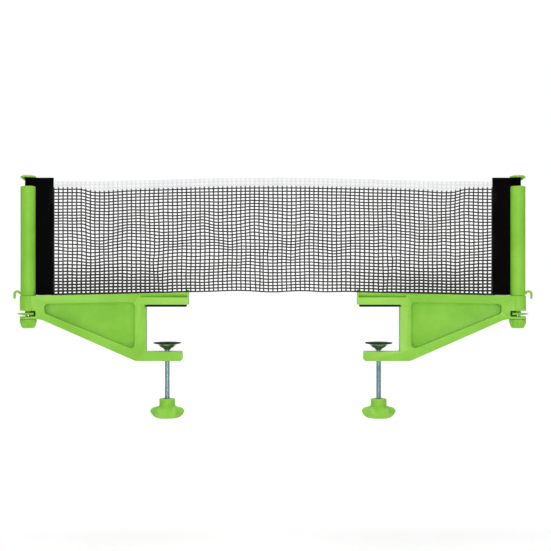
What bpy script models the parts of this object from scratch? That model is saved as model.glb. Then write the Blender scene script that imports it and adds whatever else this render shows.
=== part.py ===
"""Table tennis net set: two table clamps with posts, and the net between them.

The frame is +X along the net, +Y away from the viewer and +Z up. The origin lies midway between
the clamps, on the playing surface, which is the plane that the upper pads rest on.

A clamp is described once, in its own coordinates: `inward` is the distance from the post's axis
towards the middle of the net, y is the depth and z is the height. The left clamp has side -1, and
the right clamp is its mirror image with side +1.
"""

import math

import bmesh
import bpy
from mathutils import Vector

MM = 0.001
GAP = 0.3 * MM

# ---- driving dimensions -------------------------------------------------------------------------

NET_HEIGHT = 152.5 * MM
POST_X = 289.2 * MM
TUBE_RADIUS = 9.0 * MM
TUBE_BORE = 5.0 * MM
TUBE_TOP = 142.4 * MM
SPIGOT_RADIUS = 7.0 * MM
SPIGOT_LENGTH = 12.3 * MM
SLEEVE_SLOT_WIDTH = 3.0 * MM

BARREL_RADIUS = 9.8 * MM
BARREL_TOP = 13.0 * MM
BARREL_BOTTOM = -14.5 * MM
BRACKET_DEPTH = 16.0 * MM
POCKET_FLOOR = 3.0 * MM
ARM_TIP = 189.6 * MM
ARM_TIP_TOP = 16.9 * MM
ARM_UNDERSIDE = 2.7 * MM
JAW_WALL = 139.6 * MM
JAW_WALL_TOP = -0.3 * MM
CORNER_RELIEF = 1.0 * MM
PAD_TIP = 187.0 * MM
LOWER_ARM_TOP = -52.4 * MM
LOWER_ARM_BOTTOM = -63.7 * MM
LOWER_ARM_TIP = 182.1 * MM
RAIL_START = 132.0 * MM
RAIL_TOP = 11.2 * MM
RAIL_PROUD = 1.3 * MM
LIP_LENGTH = 3.6 * MM
LIP_TOP = 20.1 * MM
WEB_START = 16.0 * MM
WEB_END = 128.0 * MM
POCKET_START = 20.7 * MM
POCKET_END = 126.8 * MM

SLOT_TOP = -4.6 * MM
SLOT_BOTTOM = -11.4 * MM
SLOT_INNER_END = 10.3 * MM
SLOT_OPEN_TO = -3.5 * MM
BARREL_BORE = 5.3 * MM

ROD_RADIUS = 3.0 * MM
ROD_BOTTOM = 1.3 * MM
ROD_TOP = 154.4 * MM
HEAD_RADIUS = 9.3 * MM
HEAD_TOP = 155.8 * MM

SCREW_INWARD = 164.3 * MM
SCREW_RADIUS = 2.9 * MM
SCREW_SHOULDER = -51.2 * MM
BALL_CENTRE = -47.6 * MM
BALL_RADIUS = 3.2 * MM
PIN_RADIUS = 1.5 * MM
FOOT_RADIUS = 16.7 * MM
FOOT_TOP = -41.6 * MM
RUBBER_FLAT = 12.4 * MM
DISH_RADIUS = 15.6 * MM
KNOB_HUB_TOP = -108.4 * MM
KNOB_BOTTOM = -131.0 * MM
KNOB_LOBES = 6
KNOB_HUB_RADIUS = 9.35 * MM
SCREW_END = -122.4 * MM
COLLAR_RADIUS = 2.1 * MM
COLLAR_REACH = 2.35 * MM
NUT_CORNER = 5.7 * MM
NUT_TOP = -52.8 * MM
NUT_BOTTOM = -57.7 * MM

CARRIER_RADIUS = 4.6 * MM
CARRIER_TOP = 7.0 * MM
CARRIER_SHOULDER = -3.3 * MM
CARRIER_BOTTOM = -9.5 * MM
NECK_HALF = 3.2 * MM
TAB_BACK = 3.3 * MM
TAB_FRONT = -6.0 * MM
BOLT_RADIUS = 2.0 * MM
BOLT_TOP = -2.3 * MM
BOLT_BOTTOM = -22.5 * MM
BOLT_HEAD_RADIUS = 3.4 * MM
BOLT_HEAD_TOP = -19.7 * MM
GROOVE_RADIUS = 1.5 * MM
GROOVE_BOTTOM = -11.3 * MM
GROOVE_TOP = -10.4 * MM
ADJUSTER_RADIUS = 9.9 * MM
ADJUSTER_BOTTOM = -25.2 * MM
ADJUSTER_FLAT = 6.4 * MM

SLEEVE_EDGE = 30.0 * MM
SLEEVE_THICKNESS = 1.4 * MM
SLEEVE_BOTTOM = 13.95 * MM
NET_CLEARANCE = 0.7 * MM
NET_THICKNESS = 0.8 * MM
TAPE_HEIGHT = 11.0 * MM
TAPE_TOP_AT_POST = 148.8 * MM
TAPE_TOP_AT_MIDDLE = 153.6 * MM

# ---- materials ----------------------------------------------------------------------------------

PALETTE = {
    "green_plastic": ((0.245, 0.515, 0.065), 0.42, 0.0),
    "black_rubber": ((0.012, 0.012, 0.012), 0.80, 0.0),
    "zinc_plated_steel": ((0.52, 0.56, 0.58), 0.30, 1.0),
    "spring_steel": ((0.40, 0.41, 0.42), 0.40, 1.0),
    "pressed_steel": ((0.50, 0.52, 0.52), 0.25, 1.0),
    "white_nylon": ((0.80, 0.80, 0.77), 0.50, 0.0),
    "black_fabric": ((0.010, 0.010, 0.011), 0.90, 0.0),
    "black_netting": ((0.030, 0.030, 0.032), 0.85, 0.0),
    "white_tape": ((0.85, 0.85, 0.85), 0.85, 0.0),
    "braided_cord": ((0.80, 0.80, 0.78), 0.85, 0.0),
}


def material(name):
    """Return the named material, making it the first time."""
    found = bpy.data.materials.get(name)
    if found is not None:
        return found
    colour, roughness, metallic = PALETTE[name]
    made = bpy.data.materials.new(name)
    made.use_nodes = True
    shader = made.node_tree.nodes["Principled BSDF"]
    shader.inputs["Base Color"].default_value = (*colour, 1.0)
    shader.inputs["Roughness"].default_value = roughness
    shader.inputs["Metallic"].default_value = metallic
    return made


# ---- shape tools --------------------------------------------------------------------------------

def clear_scene():
    """Remove every object, so that the script can run again in the same file."""
    for item in list(bpy.data.objects):
        bpy.data.objects.remove(item, do_unlink=True)


def add_object(name, bm, location, material_name):
    """Turn a bmesh into a named object with outward faces, smooth round parts and one material."""
    bmesh.ops.recalc_face_normals(bm, faces=bm.faces)
    mesh = bpy.data.meshes.new(name)
    bm.to_mesh(mesh)
    bm.free()
    mesh.shade_smooth()
    mesh.set_sharp_from_angle(angle=math.radians(35))
    mesh.materials.append(material(material_name))
    item = bpy.data.objects.new(name, mesh)
    item.location = location
    bpy.context.scene.collection.objects.link(item)
    return item


def arc(centre_x, centre_z, radius, start, end, steps):
    """Points on an arc in the XZ plane, with the angles in degrees."""
    points = []
    for step in range(steps + 1):
        angle = math.radians(start + (end - start) * step / steps)
        points.append((centre_x + radius * math.cos(angle), centre_z + radius * math.sin(angle)))
    return points


def round_corner(before, corner, after, radius, steps):
    """Replace one corner of an outline by an arc tangent to both of its sides."""
    here = Vector(corner)
    back = (Vector(before) - here).normalized()
    forward = (Vector(after) - here).normalized()
    half_angle = back.angle(forward) / 2
    reach = radius / math.tan(half_angle)
    centre = here + (back + forward).normalized() * (radius / math.sin(half_angle))
    first = here + back * reach - centre
    last = here + forward * reach - centre
    sweep = first.angle_signed(last)
    points = []
    for step in range(steps + 1):
        angle = -sweep * step / steps
        turned_x = first.x * math.cos(angle) - first.y * math.sin(angle)
        turned_z = first.x * math.sin(angle) + first.y * math.cos(angle)
        points.append((centre.x + turned_x, centre.y + turned_z))
    return points


def rounded_outline(corners, steps=3):
    """An outline from (x, z, radius) corners, with radius 0 for a sharp one."""
    points = []
    count = len(corners)
    for index, (x, z, radius) in enumerate(corners):
        if radius == 0:
            points.append((x, z))
        else:
            before = corners[index - 1][:2]
            after = corners[(index + 1) % count][:2]
            points.extend(round_corner(before, (x, z), after, radius, steps))
    return points


def slab(outline, near, far, side=-1):
    """Extrude an XZ outline from y = near to y = far. Side +1 mirrors it in X."""
    bm = bmesh.new()
    corners = [bm.verts.new((-side * x, near, z)) for x, z in outline]
    front = bm.faces.new(corners)
    extruded = bmesh.ops.extrude_face_region(bm, geom=[front])
    moved = [part for part in extruded["geom"] if isinstance(part, bmesh.types.BMVert)]
    bmesh.ops.translate(bm, verts=moved, vec=(0, far - near, 0))
    bmesh.ops.recalc_face_normals(bm, faces=bm.faces)
    return bm


def block(x0, x1, y0, y1, z0, z1, side=-1):
    """A rectangular block between two corners."""
    return slab([(x0, z0), (x1, z0), (x1, z1), (x0, z1)], y0, y1, side)


def prism(radius, count, bottom, top, turn=0.0):
    """An upright regular prism, given by its corner radius."""
    bm = bmesh.new()
    corners = []
    for index in range(count):
        angle = turn + math.tau * index / count
        corners.append(bm.verts.new((radius * math.cos(angle), radius * math.sin(angle), bottom)))
    base = bm.faces.new(corners)
    extruded = bmesh.ops.extrude_face_region(bm, geom=[base])
    moved = [part for part in extruded["geom"] if isinstance(part, bmesh.types.BMVert)]
    bmesh.ops.translate(bm, verts=moved, vec=(0, 0, top - bottom))
    bmesh.ops.recalc_face_normals(bm, faces=bm.faces)
    return bm


def turned(profile, segments, hollow=False):
    """Spin an (r, z) profile about Z. A hollow profile closes on itself, clear of the axis."""
    bm = bmesh.new()
    points = [bm.verts.new((r, 0, z)) for r, z in profile]
    edges = [bm.edges.new(pair) for pair in zip(points, points[1:])]
    if hollow:
        edges.append(bm.edges.new((points[-1], points[0])))
    bmesh.ops.spin(
        bm, geom=points + edges, axis=(0, 0, 1), cent=(0, 0, 0),
        angle=math.tau, steps=segments, use_merge=True,
    )
    bmesh.ops.remove_doubles(bm, verts=bm.verts, dist=1e-7)
    bmesh.ops.recalc_face_normals(bm, faces=bm.faces)
    return bm


def cylinder(radius, bottom, top, segments=32):
    """An upright cylinder."""
    return turned([(0, bottom), (radius, bottom), (radius, top), (0, top)], segments)


def moved_bmesh(bm, x, y=0.0, z=0.0):
    """Shift a bmesh and return it."""
    bmesh.ops.translate(bm, verts=bm.verts, vec=(x, y, z))
    return bm


def combine(item, tools, operation):
    """Cut or join other shapes into an object, then remove the shapes that did it."""
    for index, bm in enumerate(tools):
        helper = add_object(f"{item.name}_tool_{index}", bm, item.location, "green_plastic")
        helper.hide_render = True
        helper.display_type = "WIRE"
        step = item.modifiers.new("shape", "BOOLEAN")
        step.operation = operation
        step.solver = "EXACT"
        step.object = helper
        bpy.context.view_layer.update()
        result = bpy.data.meshes.new_from_object(item.evaluated_get(bpy.context.evaluated_depsgraph_get()))
        item.modifiers.clear()
        item.data = result
        bpy.data.objects.remove(helper, do_unlink=True)
    item.data.name = item.name
    item.data.shade_smooth()
    item.data.set_sharp_from_angle(angle=math.radians(35))


def post_axis(side):
    """A point on the post's axis, at the height of the playing surface."""
    return Vector((side * POST_X, 0, 0))


def screw_axis(side):
    """A point on the clamp screw's axis, at the height of the playing surface."""
    return Vector((side * (POST_X - SCREW_INWARD), 0, 0))


# ---- clamp bracket ------------------------------------------------------------------------------

def bracket_top(inward):
    """Height of the bracket's top edge, which rises slightly towards the arm's tip."""
    return BARREL_TOP + (ARM_TIP_TOP - BARREL_TOP) * inward / ARM_TIP


def bracket_outline():
    """Side view of the web and both jaws, with a relief in the corner behind the table's edge."""
    return rounded_outline([
        (0, BARREL_TOP, 0),
        (ARM_TIP, ARM_TIP_TOP, 0),
        (ARM_TIP, ARM_UNDERSIDE, 1.2 * MM),
        (JAW_WALL - CORNER_RELIEF, ARM_UNDERSIDE, 0),
        (JAW_WALL - CORNER_RELIEF, JAW_WALL_TOP, 0),
        (JAW_WALL, JAW_WALL_TOP, 0),
        (JAW_WALL, LOWER_ARM_TOP, 0),
        (LOWER_ARM_TIP, LOWER_ARM_TOP, 1.2 * MM),
        (LOWER_ARM_TIP, LOWER_ARM_BOTTOM, 2.4 * MM),
        (WEB_END, LOWER_ARM_BOTTOM, 12.0 * MM),
        (WEB_START, BARREL_BOTTOM, 20.0 * MM),
        (0, BARREL_BOTTOM, 0),
    ])


def pocket_outline():
    """Side view of the triangular pocket in the web."""
    return rounded_outline([
        (POCKET_START, 3.4 * MM, 3.5 * MM),
        (POCKET_END, 5.6 * MM, 5.0 * MM),
        (POCKET_END, -50.8 * MM, 5.0 * MM),
        (POCKET_START, -7.4 * MM, 3.5 * MM),
    ], steps=4)


def make_bracket(name, side):
    """The moulded clamp frame: barrel, web with a pocket on each face, and two jaws."""
    half = BRACKET_DEPTH / 2
    beyond = 4 * MM
    item = add_object(name, slab(bracket_outline(), -half, half, side), post_axis(side), "green_plastic")
    combine(item, [
        slab(pocket_outline(), -half - beyond, -POCKET_FLOOR / 2, side),
        slab(pocket_outline(), POCKET_FLOOR / 2, half + beyond, side),
    ], "DIFFERENCE")
    rail_half = half + RAIL_PROUD
    combine(item, [
        cylinder(BARREL_RADIUS, BARREL_BOTTOM, BARREL_TOP, 40),
        block(RAIL_START, ARM_TIP, -rail_half, rail_half, ARM_UNDERSIDE, RAIL_TOP, side),
        block(ARM_TIP - LIP_LENGTH, ARM_TIP, 2 * MM, half, RAIL_TOP, LIP_TOP, side),
    ], "UNION")
    pocket_corner = NUT_CORNER + 0.4 * MM
    screw_x = -side * SCREW_INWARD
    combine(item, [
        cylinder(SPIGOT_RADIUS + GAP, BARREL_TOP - SPIGOT_LENGTH, BARREL_TOP + beyond, 40),
        cylinder(BARREL_BORE, SLOT_BOTTOM, BARREL_TOP, 40),
        cylinder(BOLT_RADIUS + 0.4 * MM, BARREL_BOTTOM - beyond, BARREL_TOP, 24),
        block(-BARREL_RADIUS - beyond, SLOT_INNER_END, -BARREL_RADIUS - beyond, TAB_BACK + GAP,
              SLOT_BOTTOM, SLOT_TOP, side),
        block(-BARREL_RADIUS - beyond, SLOT_OPEN_TO, 0, BARREL_RADIUS + beyond,
              SLOT_BOTTOM, SLOT_TOP, side),
        moved_bmesh(cylinder(SCREW_RADIUS + 0.4 * MM, LOWER_ARM_BOTTOM - beyond, 0, 24), screw_x),
        moved_bmesh(prism(pocket_corner, 6, NUT_BOTTOM - GAP, LOWER_ARM_TOP + beyond), screw_x),
    ], "DIFFERENCE")


def make_upper_pad(name, side):
    """The rubber strip under the upper jaw, from the jaw's wall to the arm's tip."""
    start = JAW_WALL + GAP
    top = ARM_UNDERSIDE - GAP
    outline = rounded_outline([(start, 0, 0), (PAD_TIP, 0, 0.8 * MM), (PAD_TIP, top, 0), (start, top, 0)])
    half = BRACKET_DEPTH / 2 - 0.5 * MM
    add_object(name, slab(outline, -half, half, side), post_axis(side), "black_rubber")


# ---- post ---------------------------------------------------------------------------------------

def hook_outline():
    """Side view of the cord hook, which arches up from the tube and opens downwards."""
    centre_x = -13.1 * MM
    centre_z = 14.7 * MM
    middle = 3.2 * MM
    half = 1.45 * MM
    leg_end = 9.6 * MM
    outer = arc(centre_x, centre_z, middle + half, 20, 180, 9)
    inner = arc(centre_x, centre_z, middle - half, 180, -10, 9)
    tip = arc(centre_x - middle, leg_end, half, 180, 360, 6)
    root = [(-SPIGOT_RADIUS, centre_z - 0.4 * MM), (-SPIGOT_RADIUS, centre_z + 1.8 * MM)]
    return outer + tip + inner + root


def make_post_tube(name, side):
    """The round post: a tube with a spigot in the barrel, a slot for the sleeve and a cord hook."""
    shoulder = BARREL_TOP + GAP
    spigot_bottom = BARREL_TOP - SPIGOT_LENGTH + GAP
    edge = 1.2 * MM
    profile = [
        (TUBE_BORE, spigot_bottom),
        (SPIGOT_RADIUS, spigot_bottom),
        (SPIGOT_RADIUS, shoulder),
        (TUBE_RADIUS, shoulder),
        (TUBE_RADIUS, TUBE_TOP - edge),
        (TUBE_RADIUS - edge * 0.3, TUBE_TOP - edge * 0.3),
        (TUBE_RADIUS - edge, TUBE_TOP),
        (TUBE_BORE + 0.4 * MM, TUBE_TOP),
        (TUBE_BORE, TUBE_TOP - 0.4 * MM),
    ]
    item = add_object(name, turned(profile, 32, hollow=True), post_axis(side), "green_plastic")
    half_hook = 1.6 * MM
    combine(item, [slab(hook_outline(), -half_hook, half_hook, side)], "UNION")
    half_slot = SLEEVE_SLOT_WIDTH / 2
    combine(item, [
        block(0, TUBE_RADIUS + 3 * MM, -half_slot, half_slot,
              SLEEVE_BOTTOM - GAP, TUBE_TOP + 3 * MM, side),
    ], "DIFFERENCE")


def make_net_rod(name, side):
    """The steel rod that the net's sleeve hangs on, with chamfered ends."""
    chamfer = 0.5 * MM
    profile = [
        (0, ROD_BOTTOM),
        (ROD_RADIUS - chamfer, ROD_BOTTOM),
        (ROD_RADIUS, ROD_BOTTOM + chamfer),
        (ROD_RADIUS, ROD_TOP - chamfer),
        (ROD_RADIUS - chamfer, ROD_TOP),
        (0, ROD_TOP),
    ]
    add_object(name, turned(profile, 16), post_axis(side), "zinc_plated_steel")


def make_rod_head(name, side):
    """The domed cap on the rod, with a thumb rib on its outer side."""
    underside = NET_HEIGHT + GAP
    profile = [
        (0, ROD_TOP + GAP),
        (ROD_RADIUS + GAP, ROD_TOP + GAP),
        (ROD_RADIUS + GAP, underside),
        (HEAD_RADIUS - 0.5 * MM, underside),
        (HEAD_RADIUS, underside + 0.5 * MM),
        (HEAD_RADIUS - 0.2 * MM, underside + 1.1 * MM),
        (HEAD_RADIUS - 1.6 * MM, underside + 1.9 * MM),
        (HEAD_RADIUS - 4.4 * MM, HEAD_TOP - 0.3 * MM),
        (0, HEAD_TOP),
    ]
    item = add_object(name, turned(profile, 28), post_axis(side), "green_plastic")
    rib = [
        (-HEAD_RADIUS + 0.5 * MM, underside + 1 * MM),
        (-HEAD_RADIUS + 0.5 * MM, underside - 0.4 * MM),
        (-ROD_RADIUS - 1.9 * MM, NET_HEIGHT - 3.0 * MM),
        (-ROD_RADIUS - 1.3 * MM, NET_HEIGHT - 3.0 * MM),
        (-ROD_RADIUS - 1.3 * MM, underside + 1 * MM),
    ]
    combine(item, [slab(rib, -2.5 * MM, 2.5 * MM, side)], "UNION")


# ---- height adjuster ----------------------------------------------------------------------------

def make_height_carrier(name, side):
    """The seat that carries the rod: a round body on a square neck, threaded from below."""
    item = add_object(name, turned([
        (0, CARRIER_SHOULDER),
        (CARRIER_RADIUS, CARRIER_SHOULDER),
        (CARRIER_RADIUS, CARRIER_TOP),
        (ROD_RADIUS + GAP, CARRIER_TOP),
        (ROD_RADIUS + GAP, ROD_BOTTOM - GAP),
        (0, ROD_BOTTOM - GAP),
    ], 20), post_axis(side), "green_plastic")
    combine(item, [
        block(-NECK_HALF, NECK_HALF, -NECK_HALF, NECK_HALF, CARRIER_BOTTOM, CARRIER_SHOULDER + GAP),
    ], "UNION")
    bore_top = BOLT_TOP + 1.1 * MM
    combine(item, [cylinder(BOLT_RADIUS + GAP, CARRIER_BOTTOM - 2 * MM, bore_top, 20)], "DIFFERENCE")


def make_height_tab(name, side):
    """The tapered tab that keys the carrier in the barrel's slot and shows its height."""
    outline = [
        (7.6 * MM, -9.6 * MM),
        (7.6 * MM, -6.8 * MM),
        (-11.3 * MM, -7.5 * MM),
        (-11.7 * MM, -8.1 * MM),
        (-11.3 * MM, -8.8 * MM),
        (-4.0 * MM, -10.0 * MM),
    ]
    item = add_object(name, slab(outline, TAB_FRONT, TAB_BACK, side), post_axis(side), "green_plastic")
    window = NECK_HALF + GAP
    combine(item, [block(-window, window, -window, 8 * MM, -12 * MM, -4 * MM)], "DIFFERENCE")


def make_adjuster_bolt(name, side):
    """The adjusting bolt: a head held in the knob, a groove for the clip, and a plain tip."""
    chamfer = 0.5 * MM
    profile = [
        (0, BOLT_BOTTOM),
        (BOLT_HEAD_RADIUS, BOLT_BOTTOM),
        (BOLT_HEAD_RADIUS, BOLT_HEAD_TOP),
        (BOLT_RADIUS, BOLT_HEAD_TOP),
        (BOLT_RADIUS, GROOVE_BOTTOM),
        (GROOVE_RADIUS, GROOVE_BOTTOM),
        (GROOVE_RADIUS, GROOVE_TOP),
        (BOLT_RADIUS, GROOVE_TOP),
        (BOLT_RADIUS, BOLT_TOP - chamfer),
        (BOLT_RADIUS - chamfer, BOLT_TOP),
        (0, BOLT_TOP),
    ]
    add_object(name, turned(profile, 16), post_axis(side), "zinc_plated_steel")


def make_bolt_clip(name, side):
    """The open spring clip in the bolt's groove, which keeps the bolt in the barrel."""
    bm = bmesh.new()
    inner = GROOVE_RADIUS + GAP
    outer = 4.0 * MM
    bottom = GROOVE_BOTTOM + 0.2 * MM
    top = GROOVE_TOP - 0.2 * MM
    corners = ((inner, bottom), (outer, bottom), (outer, top), (inner, top))
    ring = [bm.verts.new((r, 0, z)) for r, z in corners]
    section = bm.faces.new(ring)
    bmesh.ops.spin(
        bm, geom=[section] + list(section.edges) + ring, axis=(0, 0, 1), cent=(0, 0, 0),
        angle=math.radians(290), steps=20,
    )
    add_object(name, bm, post_axis(side), "spring_steel")


def make_height_knob(name, side):
    """The bowl-shaped adjusting knob under the barrel."""
    top = BARREL_BOTTOM - GAP
    head_pocket = BOLT_HEAD_RADIUS + GAP
    hole = BOLT_RADIUS + GAP
    profile = [
        (0, BOLT_BOTTOM - GAP),
        (head_pocket, BOLT_BOTTOM - GAP),
        (head_pocket, BOLT_HEAD_TOP + GAP),
        (hole, BOLT_HEAD_TOP + GAP),
        (hole, top),
        (ADJUSTER_RADIUS - 0.4 * MM, top),
        (ADJUSTER_RADIUS, top - 0.5 * MM),
        (ADJUSTER_RADIUS, ADJUSTER_BOTTOM + 7.4 * MM),
        (ADJUSTER_RADIUS - 0.7 * MM, ADJUSTER_BOTTOM + 4.4 * MM),
        (ADJUSTER_RADIUS - 2.0 * MM, ADJUSTER_BOTTOM + 1.6 * MM),
        (ADJUSTER_FLAT, ADJUSTER_BOTTOM),
        (0, ADJUSTER_BOTTOM),
    ]
    item = add_object(name, turned(profile, 30), post_axis(side), "green_plastic")
    grooves = []
    groove_count = 10
    groove_radius = 1.5 * MM
    distance = ADJUSTER_RADIUS + 1.0 * MM
    for index in range(groove_count):
        angle = math.tau * index / groove_count
        groove = cylinder(groove_radius, ADJUSTER_BOTTOM - 5 * MM, top - 1.8 * MM, 6)
        grooves.append(moved_bmesh(groove, distance * math.cos(angle), distance * math.sin(angle)))
    combine(item, grooves, "DIFFERENCE")


# ---- clamp screw, knob and foot -----------------------------------------------------------------

def make_screw_nut(name, side):
    """The captive hexagon nut in the lower jaw."""
    item = add_object(
        name, prism(NUT_CORNER, 6, NUT_BOTTOM, NUT_TOP), screw_axis(side), "zinc_plated_steel")
    beyond = 4 * MM
    combine(item, [cylinder(SCREW_RADIUS + GAP, NUT_BOTTOM - beyond, NUT_TOP + beyond, 24)], "DIFFERENCE")


def make_clamp_screw(name, side):
    """The clamping screw: a flat-sided end in the knob, a long shank and a pin for the foot."""
    chamfer = 0.6 * MM
    rivet_radius = COLLAR_RADIUS + 0.2 * MM
    rivet_bottom = BALL_CENTRE + COLLAR_REACH
    rivet_top = BALL_CENTRE + 3.0 * MM
    profile = [
        (0, SCREW_END),
        (SCREW_RADIUS - chamfer, SCREW_END),
        (SCREW_RADIUS, SCREW_END + chamfer),
        (SCREW_RADIUS, SCREW_SHOULDER - chamfer),
        (SCREW_RADIUS - chamfer, SCREW_SHOULDER),
        (COLLAR_RADIUS, SCREW_SHOULDER),
        (COLLAR_RADIUS, BALL_CENTRE - COLLAR_REACH),
        (PIN_RADIUS, BALL_CENTRE - COLLAR_REACH),
        (PIN_RADIUS, rivet_bottom),
        (rivet_radius, rivet_bottom),
        (rivet_radius, rivet_top - GAP),
        (COLLAR_RADIUS - 0.5 * MM, rivet_top),
        (0, rivet_top),
    ]
    add_object(name, turned(profile, 20), screw_axis(side), "zinc_plated_steel")


def knob_radius(angle, mean, swing):
    """Radius of the star-shaped rim, with a valley towards the viewer."""
    return mean + swing * math.cos(KNOB_LOBES * (angle + math.pi / 2) + math.pi)


def make_knob(name, side):
    """The star knob: a round hub above a lobed grip with a flat underside."""
    bm = bmesh.new()
    segments = 48
    rings = [
        (KNOB_HUB_RADIUS - 0.75 * MM, 0, KNOB_HUB_TOP),
        (KNOB_HUB_RADIUS, 0, KNOB_HUB_TOP - 1.0 * MM),
        (KNOB_HUB_RADIUS, 0, KNOB_HUB_TOP - 8.0 * MM),
        (11.0 * MM, 0.4 * MM, KNOB_HUB_TOP - 9.2 * MM),
        (15.1 * MM, 1.5 * MM, KNOB_HUB_TOP - 10.6 * MM),
        (16.9 * MM, 2.4 * MM, KNOB_HUB_TOP - 12.4 * MM),
        (17.4 * MM, 2.6 * MM, KNOB_HUB_TOP - 15.2 * MM),
        (16.6 * MM, 2.3 * MM, KNOB_HUB_TOP - 17.8 * MM),
        (14.8 * MM, 1.7 * MM, KNOB_HUB_TOP - 20.6 * MM),
        (12.3 * MM, 0.9 * MM, KNOB_BOTTOM),
    ]
    loops = []
    for mean, swing, z in rings:
        loop = []
        for index in range(segments):
            angle = math.tau * index / segments
            radius = knob_radius(angle, mean, swing)
            loop.append(bm.verts.new((radius * math.cos(angle), radius * math.sin(angle), z)))
        loops.append(loop)
    for upper, lower in zip(loops, loops[1:]):
        for index in range(segments):
            following = (index + 1) % segments
            bm.faces.new((upper[index], upper[following], lower[following], lower[index]))
    bm.faces.new(loops[0])
    bm.faces.new(loops[-1])
    item = add_object(name, bm, screw_axis(side), "green_plastic")
    combine(item, [
        cylinder(SCREW_RADIUS + GAP, SCREW_END - GAP, KNOB_HUB_TOP + 5 * MM, 24),
    ], "DIFFERENCE")


def ball_arc(radius, low, high, steps):
    """Points (r, z) on the swivel's sphere between two heights above its centre."""
    points = []
    start = math.asin(low / radius)
    end = math.asin(high / radius)
    for step in range(steps + 1):
        angle = start + (end - start) * step / steps
        points.append((radius * math.cos(angle), BALL_CENTRE + radius * math.sin(angle)))
    return points


def make_swivel_bush(name, side):
    """The ball-shaped bush on the screw's pin, on which the foot tilts."""
    bore = PIN_RADIUS + GAP
    cut = 2.05 * MM
    sphere = ball_arc(BALL_RADIUS, -cut, cut, 6)
    profile = [(bore, BALL_CENTRE - cut)] + sphere + [(bore, BALL_CENTRE + cut)]
    centre = screw_axis(side) + Vector((0, 0, BALL_CENTRE))
    bm = moved_bmesh(turned(profile, 16, hollow=True), 0, 0, -BALL_CENTRE)
    add_object(name, bm, centre, "white_nylon")


def make_foot_cup(name, side):
    """The pressed metal dish of the foot, with a spherical socket around the bush."""
    socket = BALL_RADIUS + GAP
    seat = FOOT_TOP - 2.6 * MM
    mouth = ball_arc(socket, -2.3 * MM, 0, 4)
    profile = [(3.1 * MM, BALL_CENTRE - 3.2 * MM)] + mouth + [
        (socket, seat),
        (RUBBER_FLAT, seat),
        (DISH_RADIUS, seat - 0.5 * MM),
        (DISH_RADIUS, seat - 0.9 * MM),
        (12.0 * MM, seat - 0.7 * MM),
        (9.7 * MM, seat - 1.1 * MM),
        (6.7 * MM, BALL_CENTRE),
        (4.5 * MM, BALL_CENTRE - 1.2 * MM),
        (4.0 * MM, BALL_CENTRE - 3.2 * MM),
    ]
    centre = screw_axis(side) + Vector((0, 0, BALL_CENTRE))
    bm = moved_bmesh(turned(profile, 28, hollow=True), 0, 0, -BALL_CENTRE)
    add_object(name, bm, centre, "pressed_steel")


def make_foot_rubber(name, side):
    """The rubber disc on the dish, flat in the middle and drooping at its rim."""
    underside = FOOT_TOP - 2.6 * MM + GAP
    profile = [
        (0, underside),
        (RUBBER_FLAT, underside),
        (FOOT_RADIUS - 0.6 * MM, underside - 0.6 * MM),
        (FOOT_RADIUS, FOOT_TOP - 2.2 * MM),
        (FOOT_RADIUS - 0.4 * MM, FOOT_TOP - 1.5 * MM),
        (12.6 * MM, FOOT_TOP - 0.4 * MM),
        (9.0 * MM, FOOT_TOP),
        (0, FOOT_TOP),
    ]
    centre = screw_axis(side) + Vector((0, 0, BALL_CENTRE))
    bm = moved_bmesh(turned(profile, 28), 0, 0, -BALL_CENTRE)
    add_object(name, bm, centre, "black_rubber")


# ---- net ----------------------------------------------------------------------------------------

def make_net_sleeve(name, side):
    """The fabric sleeve: a loop around the rod and a doubled strip out to the net."""
    loop_inner = ROD_RADIUS + GAP
    loop_outer = loop_inner + 0.6 * MM
    half = SLEEVE_THICKNESS / 2
    leave = math.degrees(math.asin(half / loop_outer))
    outline = arc(0, 0, loop_outer, leave, 360 - leave, 20)
    outline += [(SLEEVE_EDGE, -half), (SLEEVE_EDGE, half)]
    bm = bmesh.new()
    corners = [bm.verts.new((-side * x, y, SLEEVE_BOTTOM)) for x, y in outline]
    base = bm.faces.new(corners)
    extruded = bmesh.ops.extrude_face_region(bm, geom=[base])
    moved = [part for part in extruded["geom"] if isinstance(part, bmesh.types.BMVert)]
    bmesh.ops.translate(bm, verts=moved, vec=(0, 0, NET_HEIGHT - SLEEVE_BOTTOM))
    item = add_object(name, bm, post_axis(side), "black_fabric")
    combine(item, [cylinder(loop_inner, 0, NET_HEIGHT + 9 * MM, 20)], "DIFFERENCE")


def tape_top(x):
    """Height of the net's upper edge, which stands highest in the middle."""
    reach = POST_X - SLEEVE_EDGE
    rise = 0.5 + 0.5 * math.cos(math.pi * x / reach)
    return TAPE_TOP_AT_POST + (TAPE_TOP_AT_MIDDLE - TAPE_TOP_AT_POST) * rise


def net_stations():
    """X positions along the net between the two sleeves."""
    reach = POST_X - SLEEVE_EDGE - GAP
    count = 12
    return [-reach + 2 * reach * index / count for index in range(count + 1)]


def ribbon(section_at, stations):
    """Join matching closed (y, z) sections at each X into one body with flat ends."""
    bm = bmesh.new()
    loops = []
    for x in stations:
        loops.append([bm.verts.new((x, y, z)) for y, z in section_at(x)])
    for here, there in zip(loops, loops[1:]):
        count = len(here)
        for index in range(count):
            following = (index + 1) % count
            bm.faces.new((here[index], here[following], there[following], there[index]))
    bm.faces.new(loops[0])
    bm.faces.new(loops[-1])
    return bm


TAPE_PLY = 0.5 * MM
TAPE_INNER = 1.3 * MM
CORD_RADIUS = 0.9 * MM
HEM = 3.0 * MM


def net_bottom(x):
    """Height of the net's lower edge, which follows the arms' tops and hangs level between them."""
    return min(bracket_top(POST_X - abs(x)), ARM_TIP_TOP) + NET_CLEARANCE


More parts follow.
